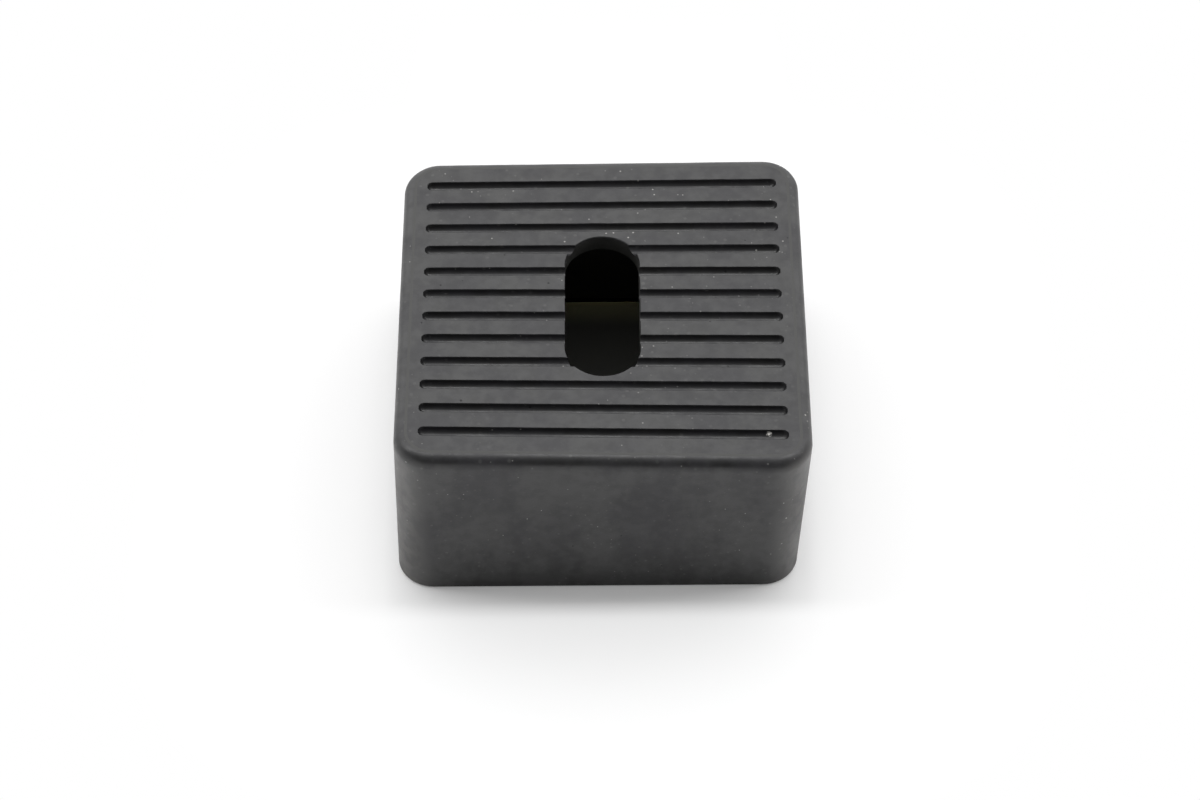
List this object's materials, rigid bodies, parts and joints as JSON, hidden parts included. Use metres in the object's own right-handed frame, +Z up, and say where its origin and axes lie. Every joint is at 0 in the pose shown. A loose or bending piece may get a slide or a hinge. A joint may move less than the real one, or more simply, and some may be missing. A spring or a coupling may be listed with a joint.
{
  "type": "rubber foot",
  "caption": "Square rubber cap foot with a grooved tread and a round-ended slot through it, hollow below to push over the end of a square leg.",
  "frame": {"origin": "centre of the open rim, on the surface that the foot stands on", "axes": "+Z up, from the open rim to the tread; X along the tread grooves; Y along the slot, with -Y towards the viewer of the picture"},
  "size_m": [0.055, 0.055, 0.027],
  "materials": {
    "black_rubber": "satin moulded black rubber, with fine dust"
  },
  "bodies": {
    "root": {"rubber_foot": "black_rubber"}
  },
  "joints": []
}
